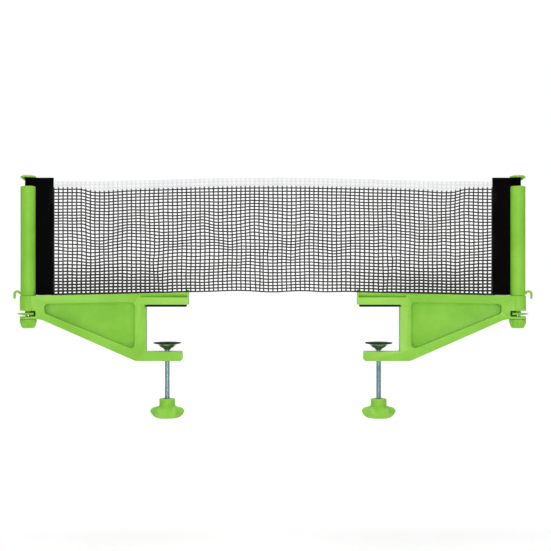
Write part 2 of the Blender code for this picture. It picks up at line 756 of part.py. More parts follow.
def net_section(x):
    """Cross-section of the netting, from its lower edge into the tape."""
    half = NET_THICKNESS / 2
    bottom = net_bottom(x)
    top = tape_top(x) - TAPE_HEIGHT + HEM
    return [(-half, bottom), (half, bottom), (half, top), (-half, top)]


def tape_section(x):
    """Cross-section of the tape: a strip folded over the cord and the netting's upper edge."""
    top = tape_top(x)
    bottom = top - TAPE_HEIGHT
    outer = TAPE_INNER + TAPE_PLY
    return [
        (-outer, bottom), (-outer, top - 0.8 * MM), (-outer + 0.8 * MM, top),
        (outer - 0.8 * MM, top), (outer, top - 0.8 * MM), (outer, bottom),
        (TAPE_INNER, bottom), (TAPE_INNER, top - 1.1 * MM), (TAPE_INNER - 0.5 * MM, top - 0.6 * MM),
        (-TAPE_INNER + 0.5 * MM, top - 0.6 * MM), (-TAPE_INNER, top - 1.1 * MM), (-TAPE_INNER, bottom),
    ]


def cord_section(x):
    """Round cross-section of the cord under the tape's fold."""
    centre = tape_top(x) - 0.6 * MM - GAP - CORD_RADIUS
    return [(y, centre + z) for y, z in arc(0, 0, CORD_RADIUS, 0, 315, 7)]


def make_net():
    """The netting, its white top tape and the cord inside the tape."""
    stations = net_stations()
    origin = Vector((0, 0, 0))
    add_object("net_mesh", ribbon(net_section, stations), origin, "black_netting")
    add_object("net_top_tape", ribbon(tape_section, stations), origin, "white_tape")
    add_object("net_top_cord", ribbon(cord_section, stations), origin, "braided_cord")


# ---- assembly -----------------------------------------------------------------------------------

CLAMP_PIECES = {
    "bracket": make_bracket,
    "upper_pad": make_upper_pad,
    "post_tube": make_post_tube,
    "net_rod": make_net_rod,
    "rod_head": make_rod_head,
    "height_carrier": make_height_carrier,
    "height_tab": make_height_tab,
    "adjuster_bolt": make_adjuster_bolt,
    "bolt_clip": make_bolt_clip,
    "height_knob": make_height_knob,
    "screw_nut": make_screw_nut,
    "clamp_screw": make_clamp_screw,
    "clamp_knob": make_knob,
    "swivel_bush": make_swivel_bush,
    "foot_cup": make_foot_cup,
    "foot_rubber": make_foot_rubber,
    "net_sleeve": make_net_sleeve,
}


def main():
    clear_scene()
    for side_name, side in (("left", -1), ("right", 1)):
        for piece, make_piece in CLAMP_PIECES.items():
            make_piece(f"{side_name}_{piece}", side)
    make_net()


main()
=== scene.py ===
"""Looks of the clamp-on table tennis net set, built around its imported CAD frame.

+X runs along the net, +Y away from the viewer and +Z up; the playing surface is z = 0. Each clamp is
described by `inward`, the distance from its post's axis towards the middle of the net.
"""

import math

import bmesh
import bpy
import numpy as np
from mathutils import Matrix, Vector, noise


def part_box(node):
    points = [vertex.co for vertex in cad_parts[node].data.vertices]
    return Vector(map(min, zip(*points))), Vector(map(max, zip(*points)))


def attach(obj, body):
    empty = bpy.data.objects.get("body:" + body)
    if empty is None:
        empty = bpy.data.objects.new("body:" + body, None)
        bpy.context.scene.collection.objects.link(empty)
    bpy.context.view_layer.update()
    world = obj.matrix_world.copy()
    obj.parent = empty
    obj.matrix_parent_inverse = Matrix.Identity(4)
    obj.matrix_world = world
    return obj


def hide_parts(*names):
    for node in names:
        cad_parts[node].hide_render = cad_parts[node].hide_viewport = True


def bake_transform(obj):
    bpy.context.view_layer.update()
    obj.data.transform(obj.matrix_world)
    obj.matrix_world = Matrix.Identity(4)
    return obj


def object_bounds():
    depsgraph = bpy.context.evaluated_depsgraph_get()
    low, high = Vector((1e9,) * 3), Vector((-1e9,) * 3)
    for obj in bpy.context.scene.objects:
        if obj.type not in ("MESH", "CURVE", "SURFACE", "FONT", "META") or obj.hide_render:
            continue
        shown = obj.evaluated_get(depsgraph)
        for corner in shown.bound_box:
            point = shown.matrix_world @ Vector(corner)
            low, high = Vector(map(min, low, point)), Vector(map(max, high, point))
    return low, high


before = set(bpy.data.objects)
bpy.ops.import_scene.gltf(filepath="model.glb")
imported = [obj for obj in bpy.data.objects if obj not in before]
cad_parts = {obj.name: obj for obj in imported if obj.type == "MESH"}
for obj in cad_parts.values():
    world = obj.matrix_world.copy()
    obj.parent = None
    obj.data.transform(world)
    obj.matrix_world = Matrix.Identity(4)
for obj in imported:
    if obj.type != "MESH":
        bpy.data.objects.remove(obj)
cad_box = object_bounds()

MM = 0.001
SIDES = {"left": -1, "right": 1}

# ---- places read from the frame -----------------------------------------------------------------


def middle(node):
    """Centre of a CAD node's box."""
    low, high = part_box(node)
    return (low + high) / 2


POST_X = middle("right_net_rod").x
SCREW_X = middle("right_clamp_screw").x
ROD_LOW, ROD_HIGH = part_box("right_net_rod")
ROD_RADIUS = (ROD_HIGH.y - ROD_LOW.y) / 2
TUBE_LOW, TUBE_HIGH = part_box("right_post_tube")
TUBE_RADIUS = (TUBE_HIGH.y - TUBE_LOW.y) / 2
SLEEVE_LOW, SLEEVE_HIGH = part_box("right_net_sleeve")
SLEEVE_EDGE = POST_X - SLEEVE_LOW.x
NET_LOW, NET_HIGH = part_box("net_mesh")
TAPE_LOW, TAPE_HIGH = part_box("net_top_tape")
SCREW_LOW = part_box("right_clamp_screw")[0]
KNOB_LOW, KNOB_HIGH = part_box("right_clamp_knob")
CUP_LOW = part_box("right_foot_cup")[0]
BALL_Z = CUP_LOW.z + 3.2 * MM
RUBBER_LOW, RUBBER_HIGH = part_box("right_foot_rubber")
HEAD_LOW, HEAD_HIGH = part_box("right_rod_head")
ADJUSTER_LOW, ADJUSTER_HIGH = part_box("right_height_knob")
ARM_REACH = POST_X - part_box("right_bracket")[0].x
BARREL_TOP = 13.0 * MM
ARM_TIP_TOP = 16.9 * MM
ARM_FACE = 8.0 * MM
NET_REACH = NET_HIGH.x
GAP = 0.3 * MM


def arm_top(inward):
    """Height of an arm's top edge, which is also the height that the net hangs to between the arms."""
    return BARREL_TOP + (ARM_TIP_TOP - BARREL_TOP) * min(inward, ARM_REACH) / ARM_REACH


def post_point(side, inward, y, z):
    """A point given by its distance inward from the post's axis."""
    return (side * (POST_X - inward), y, z)


# ---- material tools -----------------------------------------------------------------------------


def start_material(name):
    """A new node material and the tools to add to it."""
    made = bpy.data.materials.new(name)
    made.use_nodes = True
    tree = made.node_tree
    return made, tree, tree.nodes["Principled BSDF"]


def add_node(tree, kind, settings=None, values=None, links=None):
    """Add a node with its settings, socket values and incoming links."""
    node = tree.nodes.new(kind)
    for key, value in (settings or {}).items():
        setattr(node, key, value)
    for key, value in (values or {}).items():
        node.inputs[key].default_value = value
    for key, source in (links or {}).items():
        tree.links.new(source, node.inputs[key])
    return node


def place_node(tree, scale=(1, 1, 1)):
    """Object coordinates in metres, stretched by a scale."""
    where = add_node(tree, "ShaderNodeTexCoord")
    return add_node(tree, "ShaderNodeMapping", values={"Scale": scale},
                    links={"Vector": where.outputs["Object"]}).outputs["Vector"]


def noise_node(tree, vector, scale, detail=3.0, rough=0.5):
    """Noise with the given number of features per metre."""
    return add_node(tree, "ShaderNodeTexNoise",
                    values={"Scale": scale, "Detail": detail, "Roughness": rough},
                    links={"Vector": vector}).outputs["Fac"]


def ramp_node(tree, factor, low, high, start, end):
    """Blend two colours as a factor goes from start to end."""
    ramp = add_node(tree, "ShaderNodeValToRGB", links={"Fac": factor})
    ramp.color_ramp.elements[0].position = start
    ramp.color_ramp.elements[0].color = (*low, 1)
    ramp.color_ramp.elements[1].position = end
    ramp.color_ramp.elements[1].color = (*high, 1)
    return ramp.outputs["Color"]


def mix_node(tree, factor, first, second, blend="MIX"):
    """Mix two colours; the factor is a number or a socket."""
    mix = add_node(tree, "ShaderNodeMix", {"data_type": "RGBA", "blend_type": blend})
    for socket, value in ((mix.inputs[0], factor), (mix.inputs[6], first), (mix.inputs[7], second)):
        if isinstance(value, bpy.types.NodeSocket):
            tree.links.new(value, socket)
        elif isinstance(value, tuple):
            socket.default_value = (*value, 1)
        else:
            socket.default_value = value
    return mix.outputs[2]


def math_node(tree, operation, first, second):
    """One arithmetic step between two numbers or sockets."""
    step = add_node(tree, "ShaderNodeMath", {"operation": operation})
    for socket, value in zip(step.inputs, (first, second)):
        if isinstance(value, bpy.types.NodeSocket):
            tree.links.new(value, socket)
        else:
            socket.default_value = value
    return step.outputs["Value"]


def range_node(tree, value, low, high):
    """Map a factor from 0..1 to low..high."""
    return add_node(tree, "ShaderNodeMapRange", values={"To Min": low, "To Max": high},
                    links={"Value": value}).outputs["Result"]


def coat(tree, shader, colour, factor, smooth, rough):
    """Give the shader its colour, and a roughness that follows a factor."""
    tree.links.new(colour, shader.inputs["Base Color"])
    tree.links.new(range_node(tree, factor, smooth, rough), shader.inputs["Roughness"])


def bump_node(tree, shader, height, depth, strength=1.0, below=None):
    """Drive the shader's normal from a height, in metres of depth."""
    bump = add_node(tree, "ShaderNodeBump", values={"Distance": depth, "Strength": strength},
                    links={"Height": height})
    if below is not None:
        tree.links.new(below, bump.inputs["Normal"])
    tree.links.new(bump.outputs["Normal"], shader.inputs["Normal"])
    return bump.outputs["Normal"]


def weave_height(tree, vector, pitch):
    """Height of a plain weave: two crossed sets of yarns."""
    yarns = []
    for direction in ("X", "Z"):
        yarns.append(add_node(
            tree, "ShaderNodeTexWave", {"wave_type": "BANDS", "bands_direction": direction},
            {"Scale": 0.314 / pitch, "Distortion": 0.6, "Detail": 1.0}, {"Vector": vector},
        ).outputs["Fac"])
    return math_node(tree, "MAXIMUM", yarns[0], yarns[1])


# ---- materials ----------------------------------------------------------------------------------


def green_plastic():
    """Moulded lime green plastic: faint flow clouds, a fine spark-eroded grain, paler edges that are partly
    wear and partly painted highlight, and painted shade in recesses.
    """
    made, tree, shader = start_material("green_plastic")
    place = place_node(tree)
    clouds = noise_node(tree, place, 28.0, 4.0, 0.55)
    colour = ramp_node(tree, clouds, (0.200, 0.500, 0.036), (0.262, 0.590, 0.060), 0.30, 0.72)
    speckle = noise_node(tree, place, 900.0, 2.0)
    speckled = ramp_node(tree, speckle, (0.93, 0.95, 0.90), (1.0, 1.0, 1.0), 0.35, 0.60)
    colour = mix_node(tree, 1.0, colour, speckled, "MULTIPLY")
    # Paler convex edges: partly edge wear, partly a painted highlight along the rounded edges.
    edge = add_node(tree, "ShaderNodeNewGeometry").outputs["Pointiness"]
    edge = ramp_node(tree, edge, (0, 0, 0), (1, 1, 1), 0.505, 0.60)
    wear_and_edge_highlight = mix_node(tree, math_node(tree, "MULTIPLY", edge, 0.40), colour, (0.38, 0.70, 0.12))
    # Painted shade: ambient occlusion darkens the colour in pockets, corners, grooves and round the knob
    # hubs.
    recess = add_node(tree, "ShaderNodeAmbientOcclusion", {"samples": 8}, {"Distance": 10 * MM}).outputs["AO"]
    recess = ramp_node(tree, recess, (0.30, 0.47, 0.24), (1, 1, 1), 0.05, 0.72)
    tree.links.new(mix_node(tree, 1.0, wear_and_edge_highlight, recess, "MULTIPLY"), shader.inputs["Base Color"])
    smear = noise_node(tree, place_node(tree, (1, 1, 0.25)), 160.0, 5.0, 0.65)
    tree.links.new(range_node(tree, smear, 0.30, 0.52), shader.inputs["Roughness"])
    shader.inputs["Specular IOR Level"].default_value = 0.16
    grain = noise_node(tree, place, 2600.0, 2.0, 0.6)
    first = bump_node(tree, shader, grain, 0.00006, 0.5)
    bump_node(tree, shader, clouds, 0.0004, 0.35, first)
    return made


def black_rubber():
    """Matt black rubber with a dusty bloom."""
    made, tree, shader = start_material("black_rubber")
    place = place_node(tree)
    bloom = noise_node(tree, place, 120.0, 6.0, 0.65)
    colour = ramp_node(tree, bloom, (0.001, 0.001, 0.001), (0.005, 0.005, 0.005), 0.42, 0.75)
    coat(tree, shader, colour, bloom, 0.55, 0.85)
    shader.inputs["Specular IOR Level"].default_value = 0.2
    grain = noise_node(tree, place, 2200.0, 3.0)
    bump_node(tree, shader, grain, 0.00012, 0.6)
    return made


def zinc_steel():
    """Bright zinc plating, faintly blue, with drawn lines and dull patches."""
    made, tree, shader = start_material("zinc_plated_steel")
    place = place_node(tree)
    patches = noise_node(tree, place, 90.0, 5.0, 0.6)
    colour = ramp_node(tree, patches, (0.27, 0.38, 0.41), (0.43, 0.56, 0.59), 0.30, 0.70)
    coat(tree, shader, colour, patches, 0.14, 0.26)
    shader.inputs["Metallic"].default_value = 0.8
    lines = noise_node(tree, place_node(tree, (1, 1, 12)), 420.0, 3.0)
    bump_node(tree, shader, lines, 0.00003, 0.5)
    return made


def pressed_steel():
    """Bright pressed sheet steel with faint circular tool marks."""
    made, tree, shader = start_material("pressed_steel")
    place = place_node(tree)
    patches = noise_node(tree, place, 150.0, 4.0, 0.6)
    colour = ramp_node(tree, patches, (0.36, 0.41, 0.38), (0.55, 0.60, 0.56), 0.30, 0.70)
    coat(tree, shader, colour, patches, 0.14, 0.30)
    shader.inputs["Metallic"].default_value = 1.0
    rings = noise_node(tree, place_node(tree, (0.2, 0.2, 8)), 700.0, 2.0)
    bump_node(tree, shader, rings, 0.00002, 0.4)
    return made


def spring_steel():
    """Dark satin spring steel."""
    made, tree, shader = start_material("spring_steel")
    patches = noise_node(tree, place_node(tree), 300.0, 4.0)
    colour = ramp_node(tree, patches, (0.20, 0.20, 0.21), (0.34, 0.34, 0.36), 0.3, 0.7)
    coat(tree, shader, colour, patches, 0.30, 0.50)
    shader.inputs["Metallic"].default_value = 1.0
    return made


def white_nylon():
    """Off-white moulded nylon."""
    made, tree, shader = start_material("white_nylon")
    place = place_node(tree)
    clouds = noise_node(tree, place, 200.0, 4.0)
    colour = ramp_node(tree, clouds, (0.68, 0.67, 0.62), (0.80, 0.79, 0.75), 0.3, 0.7)
    coat(tree, shader, colour, clouds, 0.35, 0.55)
    bump_node(tree, shader, noise_node(tree, place, 3000.0), 0.00004, 0.5)
    return made


def black_fabric():
    """Dense black woven polyester with a faint sheen."""
    made, tree, shader = start_material("black_fabric")
    place = place_node(tree)
    weave = weave_height(tree, place, 0.55 * MM)
    fade = noise_node(tree, place, 60.0, 5.0, 0.6)
    dark = ramp_node(tree, weave, (0.0004, 0.0004, 0.0005), (0.0022, 0.0022, 0.0025), 0.30, 0.95)
    faded = ramp_node(tree, fade, (0.75, 0.75, 0.78), (1.25, 1.22, 1.2), 0.3, 0.75)
    colour = mix_node(tree, 1.0, dark, faded, "MULTIPLY")
    coat(tree, shader, colour, fade, 0.78, 0.95)
    shader.inputs["Specular IOR Level"].default_value = 0.04
    bump_node(tree, shader, weave, 0.00016, 0.8)
    return made


def black_netting():
    """Soft black yarn with a twist and a few lighter fibres."""
    made, tree, shader = start_material("black_netting")
    place = place_node(tree)
    twist = add_node(tree, "ShaderNodeTexWave",
                     {"wave_type": "BANDS", "bands_direction": "DIAGONAL"},
                     {"Scale": 330.0, "Distortion": 1.5, "Detail": 2.0}, {"Vector": place}).outputs["Fac"]
    fibres = noise_node(tree, place, 1500.0, 3.0, 0.6)
    fluff = noise_node(tree, place, 22.0, 3.0)
    base = ramp_node(tree, fibres, (0.030, 0.030, 0.029), (0.090, 0.090, 0.087), 0.40, 0.85)
    shade = ramp_node(tree, fluff, (0.75, 0.75, 0.75), (1.35, 1.35, 1.32), 0.3, 0.7)
    colour = mix_node(tree, 1.0, base, shade, "MULTIPLY")
    coat(tree, shader, colour, fibres, 0.7, 0.95)
    shader.inputs["Specular IOR Level"].default_value = 0.08
    bump_node(tree, shader, twist, 0.00012, 0.7)
    return made


def white_tape():
    """White woven tape; the netting under it shows through as a faint grey grid."""
    made, tree, shader = start_material("white_tape")
    place = place_node(tree)
    weave = weave_height(tree, place, 0.7 * MM)
    fade = noise_node(tree, place, 45.0, 4.0)
    white = ramp_node(tree, fade, (0.84, 0.85, 0.86), (0.90, 0.90, 0.895), 0.3, 0.7)
    under = add_node(tree, "ShaderNodeAttribute", {"attribute_name": "netting_under"}).outputs["Fac"]
    shaded = mix_node(tree, math_node(tree, "MULTIPLY", under, 0.45), white, (0.46, 0.46, 0.48))
    yarns = ramp_node(tree, weave, (0.95, 0.95, 0.95), (1, 1, 1), 0.2, 0.8)
    colour = mix_node(tree, 1.0, shaded, yarns, "MULTIPLY")
    coat(tree, shader, colour, fade, 0.75, 0.95)
    shader.inputs["Sheen Weight"].default_value = 0.15
    bump_node(tree, shader, weave, 0.00012, 0.7)
    return made


def braided_cord():
    """White braided cord."""
    made, tree, shader = start_material("braided_cord")
    place = place_node(tree)
    braid = add_node(tree, "ShaderNodeTexWave",
                     {"wave_type": "BANDS", "bands_direction": "DIAGONAL"},
                     {"Scale": 260.0, "Distortion": 0.5}, {"Vector": place}).outputs["Fac"]
    colour = ramp_node(tree, braid, (0.55, 0.55, 0.53), (0.84, 0.83, 0.80), 0.2, 0.7)
    tree.links.new(colour, shader.inputs["Base Color"])
    shader.inputs["Roughness"].default_value = 0.85
    bump_node(tree, shader, braid, 0.0002, 0.7)
    return made


def floor_material():
    """Pale seamless studio floor."""
    made, tree, shader = start_material("studio_floor")
    mottling = noise_node(tree, place_node(tree), 3.0, 3.0)
    colour = ramp_node(tree, mottling, (0.90, 0.90, 0.90), (0.93, 0.93, 0.93), 0.3, 0.7)
    tree.links.new(colour, shader.inputs["Base Color"])
    shader.inputs["Roughness"].default_value = 0.9
    return made


FINISH = {
    "green_plastic": green_plastic(),
    "black_rubber": black_rubber(),
    "zinc_plated_steel": zinc_steel(),
    "pressed_steel": pressed_steel(),
    "spring_steel": spring_steel(),
    "white_nylon": white_nylon(),
    "black_fabric": black_fabric(),
    "black_netting": black_netting(),
    "white_tape": white_tape(),
    "braided_cord": braided_cord(),
}

# ---- mesh tools ---------------------------------------------------------------------------------

# Angle in degrees from which an edge counts as a corner.
SHARP_ANGLE = 32


def finish_mesh(mesh, angle=SHARP_ANGLE):
    """Shade smooth, keeping corners sharper than the angle."""
    mesh.shade_smooth()
    mesh.set_sharp_from_angle(angle=math.radians(angle))


def add_piece(name, mesh, finish, angle=SHARP_ANGLE):
    """Link a mesh as a finished piece with one material."""
    finish_mesh(mesh, angle)
    mesh.materials.clear()
    mesh.materials.append(FINISH[finish])
    piece = bpy.data.objects.new(name, mesh)
    bpy.context.scene.collection.objects.link(piece)
    return piece


def settle(piece, body, finish, *nodes):
    """Fix a piece to its body and let it stand for CAD nodes; the finish it is given is not used."""
    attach(piece, body)
    if nodes:
        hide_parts(*nodes)
    return piece


def loft_mesh(name, rings, closed=True, capped=True):
    """Skin equal rings of points with quads; the rings close round, and the ends may be capped."""
    points = np.asarray(rings, float)
    rows, columns = points.shape[:2]
    faces = []
    spans = columns if closed else columns - 1
    for row in range(rows - 1):
        for column in range(spans):
            following = (column + 1) % columns
            low = row * columns
            high = low + columns
            faces.append((low + column, low + following, high + following, high + column))
    if capped and closed:
        faces.append(tuple(reversed(range(columns))))
        faces.append(tuple(range((rows - 1) * columns, rows * columns)))
    mesh = bpy.data.meshes.new(name)
    mesh.from_pydata([tuple(p) for p in points.reshape(-1, 3)], [], faces)
    bm = bmesh.new()
    bm.from_mesh(mesh)
    bmesh.ops.remove_doubles(bm, verts=bm.verts, dist=1e-7)
    bmesh.ops.recalc_face_normals(bm, faces=bm.faces)
    bm.to_mesh(mesh)
    bm.free()
    return mesh


def round_profile(corners, steps=4):
    """Points along a profile of (r, z, radius) corners, each rounded by its radius."""
    points = []
    last = len(corners) - 1
    for index, (r, z, radius) in enumerate(corners):
        here = Vector((r, z))
        if radius == 0 or index in (0, last):
            points.append((r, z))
            continue
        back = (Vector(corners[index - 1][:2]) - here).normalized()
        forward = (Vector(corners[index + 1][:2]) - here).normalized()
        half = back.angle(forward) / 2
        centre = here + (back + forward).normalized() * (radius / math.sin(half))
        first = here + back * (radius / math.tan(half)) - centre
        last_arm = here + forward * (radius / math.tan(half)) - centre
        for step in range(steps + 1):
            share = step / steps
            arm = (first * (1 - share) + last_arm * share).normalized() * radius
            points.append((centre.x + arm.x, centre.y + arm.y))
    return points


def turned_mesh(name, corners, centre_x, segments=96, steps=4):
    """Turn a rounded profile about an upright axis at x = centre_x. It starts and ends on the axis,
    or closes on itself."""
    profile = round_profile(corners, steps)
    rings = []
    for r, z in profile:
        angles = np.linspace(0, math.tau, segments, endpoint=False)
        ring = [(centre_x + r * math.cos(a), r * math.sin(a), z) for a in angles]
        rings.append(ring)
    return loft_mesh(name, rings, capped=False)


def refined_copy(name, node, width, segments=2):
    """A copy of a CAD node's mesh, welded, cleaned and with its sharp edges rounded."""
    bm = bmesh.new()
    bm.from_mesh(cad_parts[node].data)
    bmesh.ops.remove_doubles(bm, verts=bm.verts, dist=1e-6)
    bmesh.ops.dissolve_limit(bm, angle_limit=math.radians(1.0), verts=bm.verts, edges=bm.edges)
    sharp = [e for e in bm.edges if len(e.link_faces) == 2
             and e.calc_face_angle(0) > math.radians(SHARP_ANGLE)]
    bmesh.ops.bevel(bm, geom=sharp, offset=width, offset_type="OFFSET", segments=segments,
                    profile=0.5, affect="EDGES", clamp_overlap=True)
    bmesh.ops.recalc_face_normals(bm, faces=bm.faces)
    mesh = bpy.data.meshes.new(name)
    bm.to_mesh(mesh)
    bm.free()
    return mesh


def boolean(mesh, tool, operation):
    """Cut or join two meshes and return the result."""
    first = bpy.data.objects.new("work", mesh)
    second = bpy.data.objects.new("tool", tool)
    for item in (first, second):
        bpy.context.scene.collection.objects.link(item)
    step = first.modifiers.new("shape", "BOOLEAN")
    step.operation = operation
    step.object = second
    step.solver = "EXACT"
    bpy.context.view_layer.update()
    graph = bpy.context.evaluated_depsgraph_get()
    result = bpy.data.meshes.new_from_object(first.evaluated_get(graph))
    result.name = mesh.name
    for item in (first, second):
        bpy.data.objects.remove(item)
    return result


def box_mesh(low, high):
    """A box between two corners, used as a cutter."""
    bm = bmesh.new()
    bmesh.ops.create_cube(bm, size=1)
    for vert in bm.verts:
        vert.co = Vector([low[i] if vert.co[i] < 0 else high[i] for i in range(3)])
    mesh = bpy.data.meshes.new("cutter")
    bm.to_mesh(mesh)
    bm.free()
    return mesh


def tube_rings(path, radius, sides, depth=None):
    """Rings round a path that runs mostly in an XZ plane: `radius` in that plane, `depth` along Y."""
    path = np.asarray(path, float)
    tangent = np.gradient(path, axis=0)
    tangent /= np.linalg.norm(tangent, axis=1)[:, None]
    across = np.cross(tangent, (0.0, 1.0, 0.0))
    across /= np.linalg.norm(across, axis=1)[:, None]
    outward = np.cross(across, tangent) * ((radius if depth is None else depth) / radius)
    rings = []
    for index in range(sides):
        angle = math.tau * index / sides
        rings.append(path + radius * (math.cos(angle) * across + math.sin(angle) * outward))
    return np.stack(rings, axis=1)


def circle(centre_x, radius, z, segments):
    """A level ring of points round an upright axis."""
    angles = np.linspace(0, math.tau, segments, endpoint=False)
    return [(centre_x + radius * math.cos(a), radius * math.sin(a), z) for a in angles]


# ---- clamps -------------------------------------------------------------------------------------


def make_bracket(name, side):
    """The moulded clamp frame, from the CAD shape with rounded edges and a cove above its rail."""
    node = f"{name}_bracket"
    mesh = refined_copy(node, node, 0.6 * MM, 3)
    start = 133.0 * MM
    end = ARM_REACH - 1.2 * MM
    fade = 7 * MM
    shallow, full = 0.2 * MM, 2.3 * MM
    low, ledge, lip = 11.3 * MM, 12.0 * MM, 15.3 * MM
    beyond = 3 * MM
    for face in (-1, 1):
        cove = []
        for inward, depth in ((start, shallow), (start + fade, full), (end, full)):
            section = [(ARM_FACE + beyond, low), (ARM_FACE - depth, low), (ARM_FACE - depth, ledge),
                       (ARM_FACE, lip), (ARM_FACE + beyond, lip)]
            cove.append([post_point(side, inward, face * y, z) for y, z in section])
        mesh = boolean(mesh, loft_mesh("cove", cove), "DIFFERENCE")
    piece = add_piece(f"{name}_bracket_shell", mesh, "green_plastic", 40)
    settle(piece, "root", "green_plastic", node)


def hook_rings(side):
    """The cord hook: a round bar that leaves the post, arches over and points down."""
    centre = (-13.1 * MM, 14.9 * MM)
    bend = 3.2 * MM
    path = [(-TUBE_RADIUS + 1.5 * MM, 15.9 * MM), (-TUBE_RADIUS + 0.2 * MM, 16.1 * MM)]
    for step in range(17):
        angle = math.radians(28 + (180 - 28) * step / 16)
        path.append((centre[0] + bend * math.cos(angle), centre[1] + bend * math.sin(angle)))
    path += [(centre[0] - bend, 13.0 * MM), (centre[0] - bend, 11.4 * MM), (centre[0] - bend, 10.2 * MM)]
    points = [post_point(side, u, 0, z) for u, z in path]
    radii = [1.9, 1.6] + [1.45] * (len(path) - 4) + [1.4, 1.25]
    rings = tube_rings(points, 1.0, 20)
    centres = np.asarray(points)[:, None, :]
    rings = centres + (rings - centres) * (np.asarray(radii)[:, None, None] * MM)
    tip = []
    for share, lower in ((0.8, 0.6), (0.45, 0.95), (0.05, 1.15)):
        tip.append(centres[-1] + (rings[-1] - centres[-1]) * share - np.array([0, 0, lower * MM]))
    return np.concatenate([rings, np.asarray(tip)])


def make_post_tube(name, side):
    """The post: a round tube with a rounded rim, a slot on the net's side and the cord hook."""
    x = side * POST_X
    bore = 5.0 * MM
    top = TUBE_HIGH.z
    spigot = 7.0 * MM
    shoulder = BARREL_TOP + 0.3 * MM
    corners = [
        (bore, TUBE_LOW.z, 0), (spigot, TUBE_LOW.z, 0.3 * MM), (spigot, shoulder, 0.2 * MM),
        (TUBE_RADIUS + 0.1 * MM, shoulder, 0.3 * MM), (TUBE_RADIUS, shoulder + 2.0 * MM, 1.0 * MM),
        (TUBE_RADIUS, 60 * MM, 0), (TUBE_RADIUS, 100 * MM, 0), (TUBE_RADIUS, top, 1.5 * MM),
        (bore, top, 0.8 * MM), (bore, TUBE_LOW.z, 0),
    ]
    mesh = turned_mesh(f"{name}_post", corners, x, 72, 5)
    mesh = boolean(mesh, loft_mesh("hook", hook_rings(side)), "UNION")
    inner, outer = sorted((x, side * (POST_X - TUBE_RADIUS - 3 * MM)))
    half = 1.5 * MM
    slot = box_mesh((inner, -half, SLEEVE_LOW.z - 0.3 * MM), (outer, half, top + 3 * MM))
    mesh = boolean(mesh, slot, "DIFFERENCE")
    piece = add_piece(f"{name}_post_tube_shell", mesh, "green_plastic", 30)
    settle(piece, "root", "green_plastic", f"{name}_post_tube")


def make_rod_head(name, side):
    """The domed cap on the rod, with its thumb rib."""
    x = side * POST_X
    radius = (HEAD_HIGH.y - HEAD_LOW.y) / 2
    under = SLEEVE_HIGH.z + 0.3 * MM
    socket = ROD_RADIUS + 0.3 * MM
    socket_top = ROD_HIGH.z + 0.3 * MM
    top = HEAD_HIGH.z
    corners = [
        (0, socket_top, 0), (socket, socket_top, 0.2 * MM), (socket, under, 0.2 * MM),
        (radius - 0.1 * MM, under, 0.3 * MM), (radius, under + 1.0 * MM, 0.5 * MM),
        (radius * 0.78, top - 0.75 * MM, 3.0 * MM), (radius * 0.4, top - 0.12 * MM, 8.0 * MM), (0, top, 0),
    ]
    mesh = turned_mesh(f"{name}_head", corners, x, 80, 5)
    rib = bmesh.new()
    outline = [(-radius + 0.5 * MM, under + 0.8 * MM), (-radius + 0.5 * MM, under - 0.4 * MM),
               (-4.9 * MM, under - 3.3 * MM), (-4.3 * MM, under - 3.3 * MM), (-4.3 * MM, under + 0.8 * MM)]
    for y in (-2.4 * MM, 2.4 * MM):
        for u, z in outline:
            rib.verts.new(post_point(side, u, y, z))
    bmesh.ops.convex_hull(rib, input=rib.verts)
    bmesh.ops.bevel(rib, geom=rib.edges[:], offset=0.35 * MM, segments=3, profile=0.5, affect="EDGES")
    rib_mesh = bpy.data.meshes.new("rib")
    rib.to_mesh(rib_mesh)
    rib.free()
    mesh = boolean(mesh, rib_mesh, "UNION")
    piece = add_piece(f"{name}_rod_cap", mesh, "green_plastic", 30)
    settle(piece, f"{name}_rod", "green_plastic", f"{name}_rod_head")


def make_height_knob(name, side):
    """The bowl-shaped adjusting knob with finger grooves round its side and a flat bottom."""
    x = side * POST_X
    low, high = ADJUSTER_LOW.z, ADJUSTER_HIGH.z
    radius = (ADJUSTER_HIGH.y - ADJUSTER_LOW.y) / 2
    shank = 2.3 * MM
    head = 3.7 * MM
    outer = [
        (shank, high, 0), (radius, high, 0.6 * MM), (radius, low + 7.2 * MM, 4.0 * MM),
        (radius - 1.3 * MM, low + 2.9 * MM, 3.0 * MM), (6.7 * MM, low, 1.0 * MM), (0, low, 0),
    ]
    segments = 120
    rings = []
    for r, z in round_profile(outer, 6):
        depth = 0.6 * MM * max(0.0, min(1.0, (high - 1.4 * MM - z) / (1.6 * MM)))
        depth *= max(0.0, min(1.0, (r - 5.0 * MM) / (3.0 * MM)))
        ring = []
        for index in range(segments):
            angle = math.tau * index / segments
            groove = max(0.0, math.cos(10 * angle)) ** 6
            radius_here = r - depth * groove
            ring.append((x + radius_here * math.cos(angle), radius_here * math.sin(angle), z))
        rings.append(ring)
    shoulder = high - 4.6 * MM
    floor = high - 8.0 * MM
    bore = ((0, floor), (head, floor), (head, shoulder), (shank, shoulder))
    well = [circle(x, r, z, segments) for r, z in bore]
    mesh = loft_mesh(f"{name}_adjuster", well + rings, capped=False)
    piece = add_piece(f"{name}_height_knob_shell", mesh, "green_plastic", 40)
    settle(piece, f"{name}_height_adjuster", "green_plastic", f"{name}_height_knob")


